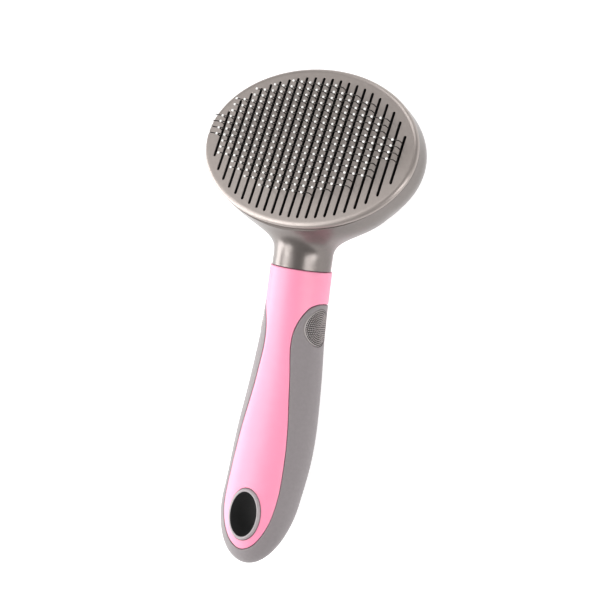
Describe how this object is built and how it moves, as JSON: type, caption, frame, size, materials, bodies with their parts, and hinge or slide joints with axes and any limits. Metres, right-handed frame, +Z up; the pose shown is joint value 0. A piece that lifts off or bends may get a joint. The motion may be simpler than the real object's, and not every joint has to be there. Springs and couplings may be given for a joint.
{
  "type": "slicker brush",
  "caption": "Pet slicker brush: bent wire pins through a slotted oval face plate that a sprung rear button pushes out, on a soft-grip handle with a hanging hole.",
  "frame": {"origin": "centre of the footprint on the surface the brush lies on, under the middle of the head and handle together", "axes": "+Z up with the brush on its back and pins up, +Y along the brush towards the top of the head, +X across the head"},
  "size_m": [0.099, 0.2044, 0.0518],
  "materials": {
    "head_shell": "warm grey pearl plastic, semi gloss, glossier at the neck",
    "face_plate": "warm grey pearl plastic, satin",
    "inner_plastic": "dark moulded plastic",
    "button": "pink glossy plastic",
    "pink_plastic": "pink glossy plastic",
    "soft_grip": "mid grey soft-touch rubber, matte",
    "pin_steel": "drawn stainless wire with rounded bright tips",
    "steel_fixing": "zinc-plated steel"
  },
  "bodies": {
    "brush_body": {"rear_shell": "head_shell", "pin_base": "inner_plastic", "pin_row_01": "pin_steel", "pin_row_02": "pin_steel", "pin_row_03": "pin_steel", "pin_row_04": "pin_steel", "pin_row_05": "pin_steel", "pin_row_06": "pin_steel", "pin_row_07": "pin_steel", "pin_row_08": "pin_steel", "pin_row_09": "pin_steel", "pin_row_10": "pin_steel", "pin_row_11": "pin_steel", "pin_row_12": "pin_steel", "pin_row_13": "pin_steel", "pin_row_14": "pin_steel", "pin_row_15": "pin_steel", "pin_row_16": "pin_steel", "pin_row_17": "pin_steel", "pin_row_18": "pin_steel", "pin_row_19": "pin_steel", "pin_row_20": "pin_steel", "pin_row_21": "pin_steel", "pin_row_22": "pin_steel", "base_screw_1": "steel_fixing", "base_screw_2": "steel_fixing", "base_screw_3": "steel_fixing", "base_screw_4": "steel_fixing", "return_spring_right": "steel_fixing", "return_spring_left": "steel_fixing", "handle_core": "pink_plastic", "grip_overmold": "soft_grip", "hanging_eyelet": "soft_grip", "thumb_pad_right": "soft_grip", "thumb_pad_left": "soft_grip", "handle_screw": "steel_fixing"},
    "ejector": {"face_plate": "face_plate", "push_button": "button"}
  },
  "joints": [
    {"name": "button_press", "type": "slide", "parent": "brush_body", "child": "ejector", "axis": [0, 0.1736, 0.9848], "range_m": [0, 0.009], "stiffness_N_per_m": 400, "springref_m": -0.015, "deforming": ["return_spring_right", "return_spring_left"]}
  ]
}
